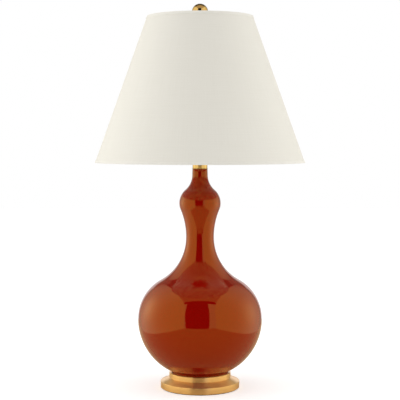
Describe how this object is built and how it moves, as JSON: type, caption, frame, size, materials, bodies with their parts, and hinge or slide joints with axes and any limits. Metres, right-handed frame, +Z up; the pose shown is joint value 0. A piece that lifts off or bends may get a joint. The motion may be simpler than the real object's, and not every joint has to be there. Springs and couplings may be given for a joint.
{
  "type": "table lamp",
  "caption": "Table lamp with a glazed ceramic double gourd body, a stepped brass base, a brass ball finial and a tapered fabric shade carried on a harp.",
  "frame": {"origin": "centre of the underside of the felt pad, where the lamp rests", "axes": "+Z up the lamp's axis, +X to the right and -Y towards the switch knob"},
  "size_m": [0.4365, 0.4366, 0.8],
  "materials": {
    "red_glaze": "high gloss glaze",
    "satin_brass": "satin, turned",
    "polished_brass": "polished",
    "steel": "zinc plated",
    "felt": "wool felt",
    "cushion_rubber": "matte",
    "fibre_sleeve": "pressed fibre",
    "black_moulding": "moulded",
    "bulb_cap": "rolled",
    "frosted_glass": "frosted white",
    "shade_lining": "styrene-backed lining",
    "shade_linen": "plain woven linen",
    "shade_hem": "folded linen tape"
  },
  "bodies": {
    "stand": {"felt_pad": "felt", "brass_base": "satin_brass", "cord_bushing": "polished_brass", "lock_washer": "steel", "foot_nut": "steel", "gourd_cushion": "cushion_rubber", "gourd_body": "red_glaze", "lamp_pipe": "steel", "seat_washer": "steel", "neck_nut": "steel", "neck_collar": "polished_brass", "harp_saddle": "polished_brass", "harp_wire": "polished_brass", "socket_cap": "polished_brass", "set_screw": "steel", "socket_shell": "polished_brass", "insulating_sleeve": "fibre_sleeve", "socket_core": "black_moulding", "terminal_screws": "steel", "centre_contact": "polished_brass", "screw_shell": "polished_brass"},
    "switch": {"switch_spindle": "polished_brass", "switch_knob": "black_moulding"},
    "bulb": {"bulb_tip": "steel", "bulb_insulator": "black_moulding", "bulb_screw_base": "bulb_cap", "bulb_glass": "frosted_glass"},
    "sleeve_left": {"harp_sleeve_left": "polished_brass"},
    "sleeve_right": {"harp_sleeve_right": "polished_brass"},
    "shade": {"harp_stud": "polished_brass", "spider_hub": "polished_brass", "spider_arms": "polished_brass", "shade_top_ring": "steel", "shade_bottom_ring": "steel", "shade_lining": "shade_lining", "shade_fabric": "shade_linen", "shade_top_hem": "shade_hem", "shade_bottom_hem": "shade_hem"},
    "finial": {"finial_base": "polished_brass", "finial_ball": "polished_brass"}
  },
  "joints": [
    {"name": "shade_swivel", "type": "hinge", "parent": "stand", "child": "shade", "pos_m": [0, 0, 0.7516], "axis": [0, 0, 1], "continuous": true},
    {"name": "finial_turn", "type": "hinge", "parent": "shade", "child": "finial", "pos_m": [0, 0, 0.7597], "axis": [0, 0, 1], "continuous": true},
    {"name": "switch_turn", "type": "hinge", "parent": "stand", "child": "switch", "pos_m": [0, -0.02, 0.5016], "axis": [0, -1, 0], "continuous": true},
    {"name": "bulb_turn", "type": "hinge", "parent": "stand", "child": "bulb", "pos_m": [0, 0, 0.5242], "axis": [0, 0, 1], "continuous": true},
    {"name": "left_sleeve_slide", "type": "slide", "parent": "stand", "child": "sleeve_left", "axis": [0, 0, 1], "range_m": [0, 0.014]},
    {"name": "right_sleeve_slide", "type": "slide", "parent": "stand", "child": "sleeve_right", "axis": [0, 0, 1], "range_m": [0, 0.014]}
  ]
}
